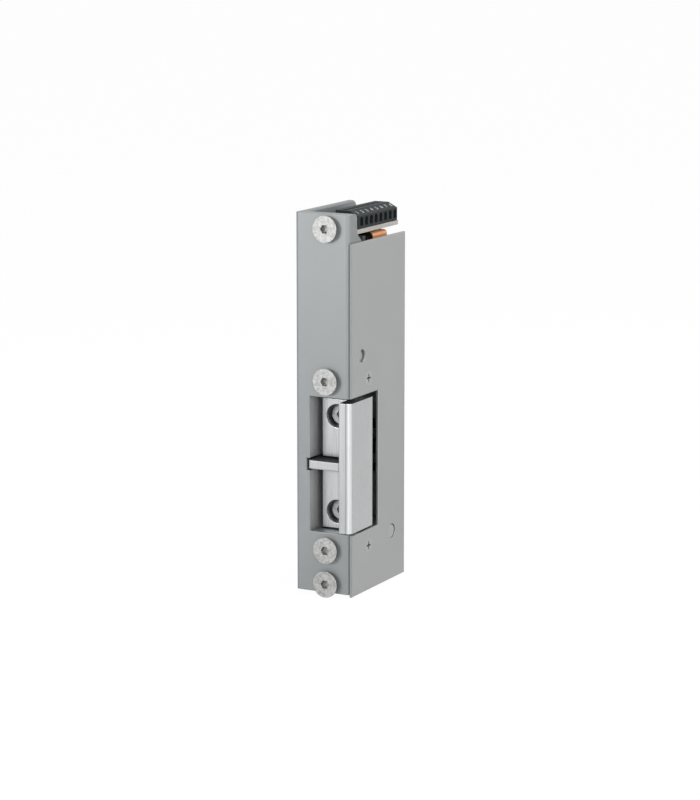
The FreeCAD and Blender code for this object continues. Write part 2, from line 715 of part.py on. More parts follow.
# -------------------------------------------------------------------------- feeler
def latch_feeler():
    """Sliding tongue: bar in the latch opening, stem, spring pocket and switch foot."""
    foot_front = "post_end + loose"
    foot_rear = f"{foot_front} + feeler_foot"
    corners = [("feeler_tip_bevel - feeler_left", 0), ("feeler_right", 0), ("feeler_right", "feeler_bar"),
               ("stem_right", "feeler_bar"), ("stem_right", foot_rear), ("-feeler_foot_left", foot_rear),
               ("-feeler_foot_left", foot_front), ("-stem_left", foot_front),
               ("-stem_left", "stem_pocket_start"), ("-feeler_pocket_left", "stem_pocket_start"),
               ("-feeler_pocket_left", "feeler_bar"), ("-feeler_left", "feeler_bar"),
               ("-feeler_left", "feeler_tip_bevel")]
    body = padded("XY_Plane", corners, "-feeler_half", "2 * feeler_half", name="Feeler")
    body_round(body, "feeler_edge", lambda b: near(b.YMin, 0) and near(b.YMax, 0) and b.XLength > 5)
    return body


def coil_spring(label, axis, at, mean_radius, wire, length, turns):
    """Round-wire helix with ground ends, standing between two seats."""
    pitch = (length - wire) / turns
    helix = Part.makeHelix(pitch, pitch * turns, mean_radius)
    circle = Part.makeCircle(wire / 2, FreeCAD.Vector(mean_radius, 0, 0), FreeCAD.Vector(0, 1, 0))
    coil = helix.makePipeShell([Part.Wire(circle)], True, True)
    coil.translate(FreeCAD.Vector(0, 0, wire / 2))
    feature = doc.addObject("Part::Feature", "Spring")
    feature.Shape = coil
    feature.Placement = FreeCAD.Placement(FreeCAD.Vector(*at), AXES[axis])
    return keep(feature, label)


# ------------------------------------------------------------------------ switches
def switch_case(front, level):
    """Snap-action switch body with its button bore and two screw holes."""
    rear = f"{front} + switch_deep"
    case = box((left_inner, switch_right), (front, rear),
               (f"{level} - switch_tall / 2", f"{level} + switch_tall / 2"))
    bore = rod("y", (switch_middle, f"{front} - 1", level), "plunger_radius + running",
               "plunger_bore_depth + 1")
    holes = [rod("x", (f"{left_inner} - 1", f"{rear} - switch_screw_inset",
                       f"{level} {sign} switch_screw_pitch / 2"),
                 "switch_screw_radius + screw_gap", "switch_thick + 2") for sign in ("+", "-")]
    return cut(case, bore, *holes, name="SwitchCase")


def switch_screw(front, level, sign):
    """Slotted pan-head screw through the switch into the case wall."""
    at_y = f"{front} + switch_deep - switch_screw_inset"
    at_z = f"{level} {sign} switch_screw_pitch / 2"
    shank = rod("x", (f"{left_inner} - switch_screw_bite", at_y, at_z), "switch_screw_radius",
                "switch_thick + switch_screw_bite + 0.3")
    head = rod("x", (switch_right, at_y, at_z), "switch_head_radius", "switch_head_height")
    slot = box((f"{switch_right} + switch_head_height - 0.5", f"{switch_right} + 2"),
               (f"{at_y} - 0.25", f"{at_y} + 0.25"), (f"{at_z} - 2", f"{at_z} + 2"))
    return cut(fuse(shank, head), slot, name="SwitchScrew")


def plunger(tip, front, level):
    return rod("y", (switch_middle, tip, level), "plunger_radius",
               f"{front} + plunger_hidden - ({tip})", "Plunger")


# ------------------------------------------------------------------- locking lever
def locking_lever():
    """Armature plate above the pivot, cranked leg below it, and the nose at the foot."""
    side = ("-armature_left", "armature_right")
    leg_side = ("-leg_left", "nose_right")
    leg_depth = ("leg_front", "leg_front + leg_thick")
    plate = box(side, ("armature_front", armature_rear), ("pivot_z + 1", "armature_top"))
    boss = rod("x", ("-armature_left", "pivot_y", "pivot_z"), "boss_radius", "armature_left + armature_right")
    web = box(side, ("armature_front", "pivot_y"), ("pivot_z - 1", "pivot_z + 2"))
    crank = box(leg_side, ("pivot_y - 1.6", "leg_front + leg_thick"), ("pivot_z - 6.5", "pivot_z - 3"))
    neck = box(leg_side, ("pivot_y - 1.6", "pivot_y + 1.6"), ("pivot_z - 5", "pivot_z"))
    leg = box(leg_side, leg_depth, ("leg_narrow_z", "pivot_z - 3.5"))
    foot = box(("nose_left", "nose_right"), leg_depth, ("nose_bottom", "leg_narrow_z + 1"))
    nose = box(("nose_left", "nose_right"), ("nose_front", "leg_front + 0.5"), ("nose_bottom", "nose_top"))
    solid = fuse(plate, boss, web, crank, neck, leg, foot, nose)
    bore = rod("x", ("-armature_left - 1", "pivot_y", "pivot_z"), "pivot_radius + running",
               "armature_left + armature_right + 2")
    return cut(solid, bore, name="Lever")


def yoke():
    """U-shaped iron: floor and back plate around the winding, with the right pivot ear."""
    left, right = f"{left_inner} + coil_clear", "armature_right + yoke_overhang"
    floor_height = (yoke_bottom, f"{yoke_bottom} + yoke_thick")
    floor = box((left, right), ("coil_front + 1.6", yoke_rear), floor_height)
    back = box((left, right), ("coil_rear + flange", yoke_rear), (yoke_bottom, "coil_z + yoke_back_rise"))
    ear = box(("armature_right + coil_clear", right), ("pivot_y - boss_radius", "coil_front + 3"),
              ("pivot_z - boss_radius", floor_height[1]))
    pin_hole = rod("x", ("armature_right - 1", "pivot_y", "pivot_z"), "pivot_radius + screw_gap", 4)
    core_hole = rod("y", ("-coil_x", "coil_rear", "coil_z"), "core_tail_radius + screw_gap", 4)
    screw_hole = rod("z", ("-yoke_screw_x", yoke_screw_y, f"{yoke_bottom} - 1"),
                     "small_screw_radius + screw_gap", 4)
    return cut(fuse(floor, back, ear), pin_hole, core_hole, screw_hole, name="Yoke")


def yoke_screw():
    """Screw from below, through the case ledge into the yoke floor."""
    shank = rod("z", ("-yoke_screw_x", yoke_screw_y, f"{yoke_bottom} - yoke_ledge_height - 0.4"),
                "small_screw_radius", "yoke_thick + yoke_ledge_height + 0.2")
    head = rod("z", ("-yoke_screw_x", yoke_screw_y, f"{yoke_bottom} - yoke_ledge_height - 1.6"), 2.3, 1.6)
    return fuse(shank, head, name="YokeScrew")


def coil_core():
    face = rod("y", ("-coil_x", "core_front", "coil_z"), "core_radius", "coil_rear + flange - core_front")
    tail = rod("y", ("-coil_x", "coil_rear + flange", "coil_z"), "core_tail_radius", "yoke_thick + 0.8")
    return fuse(face, tail, name="Core")


def coil_bobbin():
    """Plastic former: a tube and two square flanges a little smaller than the winding."""
    spool = "coil_rear - coil_front + 2 * flange"
    tube = rod("y", ("-coil_x", "coil_front - flange", "coil_z"), tube_radius, spool)
    half = "(coil_half - flange_drop)"
    across = (f"-coil_x - {half}", f"-coil_x + {half}")
    up = (f"coil_z - {half}", f"coil_z + {half}")
    flanges = [box(across, (low, f"{low} + flange"), up) for low in ("coil_front - flange", "coil_rear")]
    bore = rod("y", ("-coil_x", "coil_front - flange - 1", "coil_z"), "core_radius + running", f"{spool} + 2")
    return cut(fuse(tube, *flanges), bore, name="Bobbin")


def coil_winding():
    """Taped copper winding, square with rounded long edges and a softer rear rim."""
    rear = "coil_rear - screw_gap"
    block = box(("-coil_x - coil_half", "-coil_x + coil_half"), ("coil_front + screw_gap", rear),
                ("coil_z - coil_half", "coil_z + coil_half"))
    soft = rounded(block, "coil_corner", lambda b: along(b, "y"))
    end = value(rear)
    soft = rounded(soft, "coil_end_round", lambda b: near(b.YMin, end) and near(b.YMax, end))
    bore = rod("y", ("-coil_x", "coil_front - 1", "coil_z"), f"{tube_radius} + running",
               "coil_rear - coil_front + 2")
    return cut(soft, bore, name="Winding")


# ------------------------------------------------------------- board and terminals
def circuit_board():
    corners = [("-board_left", "board_front"), ("board_right", "board_front"), ("board_right", "board_rear"),
               ("-board_left", "board_rear")]
    body = padded("XY_Plane", corners, "board_bottom", "board_thick", name="Board")
    holes = [("-board_screw_x", y, "small_screw_radius + sliding")
             for y in ("board_screw_front_y", "board_screw_rear_y")]
    holes += [("stem_right", y, "lead_hole_radius") for y in pole_levels]
    pocket(body, "XY_Plane", board_top, "board_thick + 1", circles=holes)
    return body


def board_screw(y):
    shank = rod("z", ("-board_screw_x", y, "board_bottom - 3.6"), "small_screw_radius", "board_thick + 3.8")
    head = rod("z", ("-board_screw_x", y, board_top), "board_head_radius", 1.5)
    slot = box(("-board_screw_x - 3", "-board_screw_x + 3"), (f"{y} - 0.3", f"{y} + 0.3"),
               (f"{board_top} + 0.8", f"{board_top} + 2"))
    return cut(fuse(shank, head), slot, name="BoardScrew")


def terminal_block():
    """Eight-pole moulding with a sloped marking face, arched wire entries and screw wells."""
    corners = [("-block_left", board_top), ("block_right", board_top),
               ("block_right", "block_top - block_slope_drop"), ("block_slope_x", "block_top"),
               ("-block_left", "block_top")]
    body = padded("XZ_Plane", corners, "-block_rear", "block_rear - block_front", name="Moulding")
    cuts = []
    for y in pole_levels:
        cuts += arch(y, "cage_left + sliding", "cage_left + block_right + 1", "0")
        cuts.append(rod("z", (0, y, "wire_entry_high - 1"), "terminal_screw_hole",
                        "block_top - wire_entry_high + 2"))
        cuts.append(rod("z", ("stem_right", y, f"{board_top} - 1"), "lead_hole_radius", 3))
    return cut(body, *cuts, name="BlockCut")


def arch(y, left, length, margin):
    """A bar along X with a flat floor and a half-round roof, shrunk by a margin."""
    half = f"(wire_entry_width / 2 - {margin})"
    spring_line = f"(wire_entry_high - {margin} - {half})"
    return [box((f"-({left})", f"-({left}) + {length}"), (f"{y} - {half}", f"{y} + {half}"),
                ("wire_entry_low", spring_line)),
            rod("x", (f"-({left})", y, spring_line), half, length)]


def terminal_clamp(y):
    """Metal cage with a wire throat and a tapped roof."""
    cage = fuse(*arch(y, "cage_left", "cage_left + cage_right", "sliding"))
    throat = rod("x", (-0.9, y, "wire_entry_low + 1.45"), 0.85, 8)
    tap = rod("z", (0, y, "wire_entry_low + 1.6"), "terminal_shank_radius + screw_gap", 3)
    return cut(cage, throat, tap, name="Cage")


def terminal_screw(y):
    shank = rod("z", (0, y, "wire_entry_high - 0.9"), "terminal_shank_radius", 1.2)
    head = rod("z", (0, y, "wire_entry_high"), "terminal_screw_radius", 1.4)
    slot = box((-2, 2), (f"{y} - 0.2", f"{y} + 0.2"), ("wire_entry_high + 0.8", "wire_entry_high + 2"))
    return cut(fuse(shank, head), slot, name="TerminalScrew")


def terminal_pin(y):
    return box(("stem_right - lead_half", "stem_right + lead_half"), (f"{y} - lead_half", f"{y} + lead_half"),
               ("board_bottom - 0.6", "wire_entry_low"), "Lead")


def diode():
    """Suppression diode lying along the board, with two leads and their feet."""
    height = f"{board_top} + diode_radius"
    body = rod("y", ("-diode_x", 24, height), "diode_radius", 5.2)
    leads = rod("y", ("-diode_x", 22.2, height), 0.3, 8.8)
    feet = [box(("-diode_x - 0.25", "-diode_x + 0.25"), (y, y + 0.5), (board_top, f"{height} + 0.1"))
            for y in (22.2, 30.5)]
    return fuse(body, leads, *feet, name="DiodeSolid")


# ------------------------------------------------------------------------ assembly
keep(housing(), "housing")
keep(side_cover(), "side_cover")
keep(group(*[cover_screw(z) for z in ("fixing_mid_z", "-fixing_mid_z")]), "cover_screws")
keep(group(*[fixing_screw(z) for z in fixing_levels]), "fixing_screws")
keep(rod("x", ("housing_right - locating_pin_depth", "locating_pin_y", "locating_pin_z"),
         "locating_pin_radius", "locating_pin_depth + 0.2"), "locating_pin")
keep(rod("x", ("housing_right - rear_pin_depth", "rear_pin_y", "-rear_pin_z"), "rear_pin_radius",
         "rear_pin_depth + cover_sheet - running"), "rear_pin")
keep(keeper_jaw(), "keeper_jaw")
keep(keeper_carrier(), "keeper_carrier")
keep(lug_block(), "lock_lug")
keep(group(*[clamp_screw(z) for z in clamp_levels]), "clamp_screws")
keep(hinge_pin("pin_inner_end"), "hinge_pin_upper")
keep(hinge_pin(f"-{rib_end}"), "hinge_pin_lower")
keep(latch_feeler(), "latch_feeler")
for name, front, level, tip in (
        ("feeler_switch", feeler_switch_front, "0", f"{feeler_switch_front} - plunger_travel - 0.2"),
        ("monitor_switch", monitor_switch_front, "monitor_z", "leg_front + leg_thick + sliding")):
    keep(switch_case(front, level), name)
    keep(plunger(tip, front, level), f"{name}_plunger")
    keep(group(*[switch_screw(front, level, sign) for sign in ("+", "-")]), f"{name}_screws")
keep(locking_lever(), "locking_lever")
keep(rod("x", (pivot_start, "pivot_y", "pivot_z"), "pivot_radius",
         f"armature_right + yoke_overhang - ({pivot_start})"), "lever_pivot_pin")
keep(yoke(), "coil_yoke")
keep(coil_core(), "coil_core")
keep(coil_bobbin(), "coil_bobbin")
keep(coil_winding(), "coil_winding")
keep(yoke_screw(), "yoke_screw")
keep(circuit_board(), "circuit_board")
keep(group(*[board_screw(y) for y in ("board_screw_front_y", "board_screw_rear_y")]), "board_screws")
keep(terminal_block(), "terminal_block")
keep(group(*[terminal_clamp(y) for y in pole_levels]), "terminal_clamps")
keep(group(*[terminal_screw(y) for y in pole_levels]), "terminal_screws")
keep(group(*[terminal_pin(y) for y in pole_levels]), "terminal_pins")
keep(diode(), "suppressor_diode")
doc.recompute()

spring_x = value(f"{left_inner} + 3.0")
pocket_front, pocket_rear = value("stem_pocket_start"), value("post_start")
coil_spring("feeler_spring", "y", (spring_x, pocket_front + 0.15, 0), 1.2, 0.4,
            pocket_rear - pocket_front - 0.3, 7)
seat_rear, leg_face = value("spring_seat_rear"), value("leg_front")
seat_level = value("monitor_z + spring_seat_rise + spring_seat_height / 2")
coil_spring("lever_spring", "y", (spring_x - 0.2, seat_rear + 0.15, seat_level), 1.5, 0.4,
            leg_face - seat_rear - 0.3, 4)
bay_low, bay_high = -value("spring_bay_low"), -value("spring_bay_high")
coil_spring("keeper_spring", "z", (value("hinge_x"), value("hinge_y"), bay_low + 0.25),
            value("hub_neck_radius") + 0.52, 0.6, bay_high - bay_low - 0.5, 7)

# --------------------------------------------------------------------- write files
doc.recompute()
failed = [o.Name for o in doc.Objects if "Invalid" in o.State or "Error" in o.State]
if failed:
    raise RuntimeError(f"failed objects: {failed}")
os.makedirs("parts", exist_ok=True)
for node in nodes:
    shape = node.Shape
    if shape.isNull() or not shape.isValid() or not shape.Solids:
        raise RuntimeError(f"{node.Label} has no valid shape")
    print(f"{node.Label}: {len(shape.Solids)} solids, {shape.Volume:.1f} mm3")
    shape.exportStep(f"parts/{node.Label}.step")
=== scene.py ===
import json
import math
import bpy
from mathutils import Matrix, Vector


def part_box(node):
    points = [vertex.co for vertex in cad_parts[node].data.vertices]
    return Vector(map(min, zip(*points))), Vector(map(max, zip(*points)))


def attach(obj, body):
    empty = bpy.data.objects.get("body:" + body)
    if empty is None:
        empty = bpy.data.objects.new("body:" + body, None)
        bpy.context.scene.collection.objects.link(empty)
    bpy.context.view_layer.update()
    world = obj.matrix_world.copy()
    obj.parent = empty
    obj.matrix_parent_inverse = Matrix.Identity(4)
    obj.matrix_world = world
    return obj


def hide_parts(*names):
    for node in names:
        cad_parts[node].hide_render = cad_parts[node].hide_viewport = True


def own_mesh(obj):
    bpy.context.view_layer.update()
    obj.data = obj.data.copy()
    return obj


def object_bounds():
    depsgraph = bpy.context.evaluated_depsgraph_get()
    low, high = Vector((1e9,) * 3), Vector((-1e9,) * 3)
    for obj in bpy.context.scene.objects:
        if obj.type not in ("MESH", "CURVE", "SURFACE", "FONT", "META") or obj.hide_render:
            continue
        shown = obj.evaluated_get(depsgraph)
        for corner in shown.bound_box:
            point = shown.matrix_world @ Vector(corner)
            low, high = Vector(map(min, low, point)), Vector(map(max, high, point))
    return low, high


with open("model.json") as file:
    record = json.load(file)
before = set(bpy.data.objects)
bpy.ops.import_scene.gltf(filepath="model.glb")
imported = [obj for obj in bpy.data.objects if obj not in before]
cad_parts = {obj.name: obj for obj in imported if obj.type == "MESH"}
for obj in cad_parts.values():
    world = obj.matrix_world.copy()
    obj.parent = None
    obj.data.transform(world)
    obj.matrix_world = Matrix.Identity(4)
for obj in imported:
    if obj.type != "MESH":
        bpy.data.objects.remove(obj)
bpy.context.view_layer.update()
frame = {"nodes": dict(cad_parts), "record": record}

mm = 0.001
nodes = frame["nodes"]
print("frame loaded:", len(nodes), "nodes")


# shader maths: an operator on a socket adds its Math node
class Sock:
    def __init__(self, tree, socket):
        self.tree = tree
        self.socket = socket

    def calc(self, operation, other, swapped=False):
        node = self.tree.nodes.new("ShaderNodeMath")
        node.operation = operation
        pair = (other, self) if swapped else (self, other)
        for slot, item in zip(node.inputs, pair):
            feed(self.tree, slot, item)
        return Sock(self.tree, node.outputs[0])

    def __add__(self, other):
        return self.calc("ADD", other)

    def __radd__(self, other):
        return self.calc("ADD", other, True)

    def __sub__(self, other):
        return self.calc("SUBTRACT", other)

    def __rsub__(self, other):
        return self.calc("SUBTRACT", other, True)

    def __mul__(self, other):
        return self.calc("MULTIPLY", other)

    def __rmul__(self, other):
        return self.calc("MULTIPLY", other, True)

    # 1 where it holds and 0 elsewhere; each is the other's reflected form
    def __lt__(self, other):
        return self.calc("LESS_THAN", other)

    def __gt__(self, other):
        return self.calc("GREATER_THAN", other)

    def __abs__(self):
        return self.calc("ABSOLUTE", 0.0)


def feed(tree, slot, item):
    # link a socket, or set a value; a colour slot also takes three numbers
    if isinstance(item, Sock):
        tree.links.new(item.socket, slot)
    elif hasattr(slot.default_value, "__len__") and len(slot.default_value) == 4 and len(item) == 3:
        slot.default_value = (*item, 1.0)
    else:
        slot.default_value = item


def blended(first, second, share=0.5):
    # a share of the first, and the rest from the second
    return first * share + second * (1 - share)


# what the finishes share: each run is where a value starts to change and where it has changed
shared = {"noiseRough": 0.55, "noiseRun": (0.3, 0.7), "wornRun": (0.80, 0.995), "gapRun": (0.25, 0.85),
          "bevelSamples": 6, "gapSamples": 10, "wornSmooth": 0.05}


class Finish:
    # one material and the nodes that make it
    def __init__(self, name, **surface):
        self.material = bpy.data.materials.new(name)
        self.material.use_nodes = True
        self.tree = self.material.node_tree
        self.shader = self.tree.nodes["Principled BSDF"]
        self.place = self.add("ShaderNodeTexCoord", out="Object")
        self.set(**surface)

    def add(self, kind, settings=None, inputs=None, out=0):
        node = self.tree.nodes.new(kind)
        for key, item in (settings or {}).items():
            setattr(node, key, item)
        for key, item in (inputs or {}).items():
            feed(self.tree, node.inputs[key], item)
        return Sock(self.tree, node.outputs[out])

    def set(self, **surface):
        for key, item in surface.items():
            feed(self.tree, self.shader.inputs[key.replace("_", " ")], item)

    def noise(self, scale, detail, stretch=None):
        spot = self.place
        if stretch:
            spot = self.add("ShaderNodeMapping", inputs={"Vector": self.place, "Scale": stretch})
        inputs = {"Vector": spot, "Scale": scale, "Detail": detail, "Roughness": shared["noiseRough"]}
        return self.add("ShaderNodeTexNoise", inputs=inputs)

    def between(self, factor, low, high):
        # a colour that runs from low to high
        return self.add("ShaderNodeMix", {"data_type": "RGBA"}, {"Factor": factor, 6: low, 7: high}, out=2)

    def span(self, factor, low, high, run=shared["noiseRun"]):
        # low before the run, high after it, and straight between
        inputs = {"Value": factor, "From Min": run[0], "From Max": run[1], "To Min": low, "To Max": high}
        return self.add("ShaderNodeMapRange", inputs=inputs)

    def rounded(self, radius):
        # the normal of a surface with its sharp edges rounded
        return self.add("ShaderNodeBevel", {"samples": shared["bevelSamples"]}, {"Radius": radius})

    def edges(self, radius):
        # 1 on worn edges, 0 on flats: how far the rounded normal turns from the true one
        true = self.add("ShaderNodeNewGeometry", out="Normal")
        inputs = {0: self.rounded(radius), 1: true}
        turn = self.add("ShaderNodeVectorMath", {"operation": "DOT_PRODUCT"}, inputs, out="Value")
        return self.span(turn, 1.0, 0.0, shared["wornRun"])

    def parts(self, vector):
        # a vector's parts to the side, to the back and up
        split = self.add("ShaderNodeSeparateXYZ", inputs={"Vector": vector}).socket.node
        return [Sock(self.tree, split.outputs[axis]) for axis in ("X", "Y", "Z")]

    def facing(self):
        # how far the surface looks to the side, to the back and up
        return self.parts(self.add("ShaderNodeTexCoord", out="Normal"))

    def recessShade(self, reach, dark, samples=shared["gapSamples"]):
        # painted shade: 1 in the open, down to dark inside sockets, slots and narrow gaps, where shade falls
        shade = self.add("ShaderNodeAmbientOcclusion", {"samples": samples}, {"Distance": reach}, out="AO")
        return self.span(shade, dark, 1.0, shared["gapRun"])

    def shaded(self, colour, factor):
        # a colour multiplied by a number
        return self.add("ShaderNodeVectorMath", {"operation": "SCALE"}, {0: colour, "Scale": factor})

    def away(self, spot):
        # how far a point of the surface is from a spot
        inputs = {0: self.place, 1: spot}
        return self.add("ShaderNodeVectorMath", {"operation": "DISTANCE"}, inputs, out="Value")

    def bump(self, height, look, rounds=True):
        # relief from a finish's dictionary, which rounds the sharp edges as well
        inputs = {"Height": height, "Distance": look["depth"], "Strength": look["bump"]}
        if rounds:
            inputs["Normal"] = self.rounded(look["edgeRadius"])
        self.set(Normal=self.add("ShaderNodeBump", inputs=inputs))


castZinc = {"colour": (0.172, 0.183, 0.186), "pale": (0.188, 0.199, 0.202), "edge": (0.215, 0.225, 0.23),
            "paintedWallLight": (0.42, 0.43, 0.432), "metal": 0.6, "rough": (0.46, 0.54),
            "cloud": 60, "grain": 2600, "fleck": 910, "wornFlecks": (0.35, 0.9), "grainShare": 0.7,
            "depth": 0.012 * mm, "bump": 0.6, "edgeRadius": 0.45 * mm, "wornRadius": 0.63 * mm,
            "gapReach": 0.9 * mm, "gapDark": 0.35, "gapSamples": 6,
            "openingHalf": 26.5 * mm, "wallRun": (0.5, 0.8)}


def makeCastZinc():
    f = Finish("castZinc", Metallic=castZinc["metal"])
    cloud = f.noise(castZinc["cloud"], 5)
    grain = f.noise(castZinc["grain"], 3)
    fleck = f.noise(castZinc["fleck"], 2)
    colour = f.between(f.span(cloud, 0, 1), castZinc["colour"], castZinc["pale"])
    worn = f.edges(castZinc["wornRadius"])
    colour = f.between(worn * f.span(fleck, *castZinc["wornFlecks"]), colour, castZinc["edge"])
    # the wall of the latch opening, which looks to the side from the far half of the case, is painted
    # lighter: painted light standing in for the light that reaches it through the opening
    toSide = f.facing()[0]
    across, _, height = f.parts(f.place)
    inOpening = (across < 0.0) * (abs(height) < castZinc["openingHalf"])
    wall = f.span(toSide, 0.0, 1.0, castZinc["wallRun"]) * inOpening
    colour = f.between(wall, colour, castZinc["paintedWallLight"])
    # painted shade in the case's sockets, slots and narrow gaps
    gaps = f.recessShade(castZinc["gapReach"], castZinc["gapDark"], castZinc["gapSamples"])
    f.set(Base_Color=f.shaded(colour, gaps))
    f.set(Roughness=f.span(cloud, *castZinc["rough"]) - worn * shared["wornSmooth"])
    f.bump(blended(grain, fleck, castZinc["grainShare"]), castZinc)
    return f.material


coverSheet = {"colour": (0.294, 0.299, 0.296), "pale": (0.316, 0.321, 0.318), "edge": (0.33, 0.335, 0.33),
              "shadedBend": (0.205, 0.210, 0.207), "bendRough": 0.2, "bendRun": (0.15, 0.6), "frontBand": 1.5 * mm,
              "metal": 0.8, "rough": (0.40, 0.50), "wear": 0.8,
              "cloud": 45, "rolled": 1800, "rolledStretch": 0.06, "fine": 2880,
              "cloudShare": 0.6, "rolledShare": 0.6,
              "depth": 0.008 * mm, "bump": 0.5, "edgeRadius": 0.3 * mm, "wornRadius": 0.45 * mm}


def makeCoverSheet():
    # rolled sheet, its grain up and down
    f = Finish("coverSheet", Metallic=coverSheet["metal"])
    cloud = f.noise(coverSheet["cloud"], 4)
    rolled = f.noise(coverSheet["rolled"], 3, stretch=(1, 1, coverSheet["rolledStretch"]))
    fine = f.noise(coverSheet["fine"], 2)
    worn = f.edges(coverSheet["wornRadius"])
    tone = f.span(blended(cloud, rolled, coverSheet["cloudShare"]), 0, 1)
    sheet = f.between(tone, coverSheet["colour"], coverSheet["pale"])
    sheet = f.between(worn * coverSheet["wear"], sheet, coverSheet["edge"])
    # the sheet's front edge and the bend beside it are duller, and painted shade makes their colour darker
    toBack = f.facing()[1]
    depth = f.parts(f.place)[1]
    shadedBend = f.span(toBack * -1.0, 0.0, 1.0, coverSheet["bendRun"]) * (depth < coverSheet["frontBand"])
    f.set(Base_Color=f.between(shadedBend, sheet, coverSheet["shadedBend"]))
    rough = f.span(blended(rolled, cloud), *coverSheet["rough"])
    f.set(Roughness=rough + shadedBend * coverSheet["bendRough"])
    f.bump(blended(rolled, fine, coverSheet["rolledShare"]), coverSheet)
    return f.material


satinNickel = {"colour": (0.395, 0.405, 0.408), "pale": (0.43, 0.44, 0.443), "cornerHighlight": (0.66, 0.67, 0.67),
               "metal": 0.92, "rough": (0.26, 0.33), "greaseRough": 0.6,
               "cloud": 60, "lines": 1500, "lineStretch": 0.04, "depth": 0.005 * mm, "bump": 0.25,
               "wornWidth": 1.3, "cornerHighlightRun": (0.45, 0.95), "shadeAndGreaseRun": (0.08, 0.4),
               "turnDark": 0.3, "turnStarts": (0.02, 0.08), "turnEnds": (0.14, 0.26), "front": -0.5}
nickelPieces = {
    "satinNickel": {"edgeRadius": 0.25 * mm, "gapReach": 3 * mm, "gapDark": 0.5, "topShadeAndGrease": 0.0},
    "feelerNickel": {"edgeRadius": 0.1 * mm, "gapReach": 12 * mm, "gapDark": 0.25, "topShadeAndGrease": 0.82},
}


def makeSatinNickel(name):
    # long fine lines run up and down, as the grinding left them
    look = {**satinNickel, **nickelPieces[name]}
    f = Finish(name, Metallic=look["metal"])
    lines = f.noise(look["lines"], 3, stretch=(1, 1, look["lineStretch"]))
    cloud = f.noise(look["cloud"], 3)
    worn = f.edges(look["edgeRadius"] * look["wornWidth"])
    colour = f.between(f.span(blended(cloud, lines), 0, 1), look["colour"], look["pale"])
    # a painted highlight: the rounded front corner is coloured bright, standing in for the sheen on it
    toSide, toBack, toTop = f.facing()
    cornerHighlight = f.span(toSide * toBack * -2.0, 0.0, 1.0, look["cornerHighlightRun"])
    colour = f.between(cornerHighlight, colour, look["cornerHighlight"])
    # a painted dark reflection: a darker line where the flat front starts to turn into that corner
    starts = f.span(toSide, 0.0, look["turnDark"], look["turnStarts"])
    turned = starts * f.span(toSide, 1.0, 0.0, look["turnEnds"])
    colour = f.shaded(colour, 1.0 - turned * (toBack < look["front"]))
    # what faces up is painted darker as shade, and is rougher as grease
    shadeAndGrease = f.span(toTop, 0.0, look["topShadeAndGrease"], look["shadeAndGreaseRun"])
    colour = f.shaded(colour, 1.0 - shadeAndGrease)
    # painted shade inside sockets, slots and narrow gaps
    f.set(Base_Color=f.shaded(colour, f.recessShade(look["gapReach"], look["gapDark"])))
    rough = f.span(lines, *look["rough"]) - worn * shared["wornSmooth"]
    f.set(Roughness=rough + shadeAndGrease * look["greaseRough"])
    f.bump(lines, look)
    return f.material


# plain metals that differ only in tone, gloss and how dark their recesses are
metals = {
    "zincPlatedSteel": {"colour": (0.20, 0.202, 0.197), "pale": (0.375, 0.377, 0.370), "rough": (0.46, 0.58),
                        "metal": 0.9, "gapDark": 1.0},
    "coverHardware": {"colour": (0.30, 0.305, 0.302), "pale": (0.35, 0.355, 0.352), "rough": (0.40, 0.50),
                      "metal": 0.8, "gapDark": 0.35},
    "sinteredSteel": {"colour": (0.10, 0.10, 0.10), "pale": (0.16, 0.16, 0.155), "rough": (0.5, 0.62),
                      "metal": 0.8, "gapDark": 0.4},
    "hardenedSteel": {"colour": (0.40, 0.40, 0.40), "pale": (0.50, 0.50, 0.50), "rough": (0.18, 0.28),
                      "metal": 1.0, "gapDark": 0.5},
    "magnetIron": {"colour": (0.030, 0.024, 0.020), "pale": (0.050, 0.040, 0.032), "rough": (0.42, 0.55),
                   "metal": 0.6, "gapDark": 0.5},
    "tinnedCopper": {"colour": (0.55, 0.55, 0.54), "pale": (0.68, 0.68, 0.67), "rough": (0.2, 0.34),
                     "metal": 1.0, "gapDark": 0.8},
    "springSteel": {"colour": (0.30, 0.30, 0.30), "pale": (0.42, 0.42, 0.42), "rough": (0.2, 0.3),
                    "metal": 1.0, "gapDark": 0.5},
}
metalSkin = {"cloud": 900, "grain": 3200, "toneRun": (0.4, 0.6), "cloudShare": 0.6, "gapReach": 2.2 * mm,
             "depth": 0.012 * mm, "bump": 0.5, "edgeRadius": 0.12 * mm, "wornRadius": 0.2 * mm}


def makeMetal(name, shadowSliver=None):
    tone = metals[name]
    f = Finish(name, Metallic=tone["metal"])
    cloud = f.noise(metalSkin["cloud"], 5)
    grain = f.noise(metalSkin["grain"], 3)
    worn = f.edges(metalSkin["wornRadius"])
    mottle = f.span(blended(cloud, grain), 0, 1, metalSkin["toneRun"])
    colour = f.between(mottle, tone["colour"], tone["pale"])
    # a painted shadow: a dark crescent laid over the colour
    if shadowSliver:
        outside = f.span(f.away(shadowSliver["centre"]), 0.0, 1.0, shadowSliver["run"])
        colour = f.between(outside, colour, shadowSliver["dark"])
    # painted shade inside sockets, slots and narrow gaps
    f.set(Base_Color=f.shaded(colour, f.recessShade(metalSkin["gapReach"], tone["gapDark"])))
    f.set(Roughness=f.span(blended(grain, cloud), *tone["rough"]) - worn * shared["wornSmooth"])
    f.bump(blended(cloud, grain, metalSkin["cloudShare"]), metalSkin)
    return f.material


rearPin = {"offCentre": 0.45 * mm, "soft": 0.1 * mm, "dark": (0.012, 0.012, 0.012)}


def makeRearPin():
    # a painted shadow: a dark crescent along the pin's back side, placed as if the pin sat a touch off
    # centre in its hole
    low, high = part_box("rear_pin")
    radius = (high.y - low.y) / 2
    centre = (high.x, low.y + radius - rearPin["offCentre"], low.z + radius)
    reach = radius - rearPin["offCentre"] / 2
    run = (reach, reach + rearPin["soft"])
    return makeMetal("coverHardware", {"centre": centre, "run": run, "dark": rearPin["dark"]})


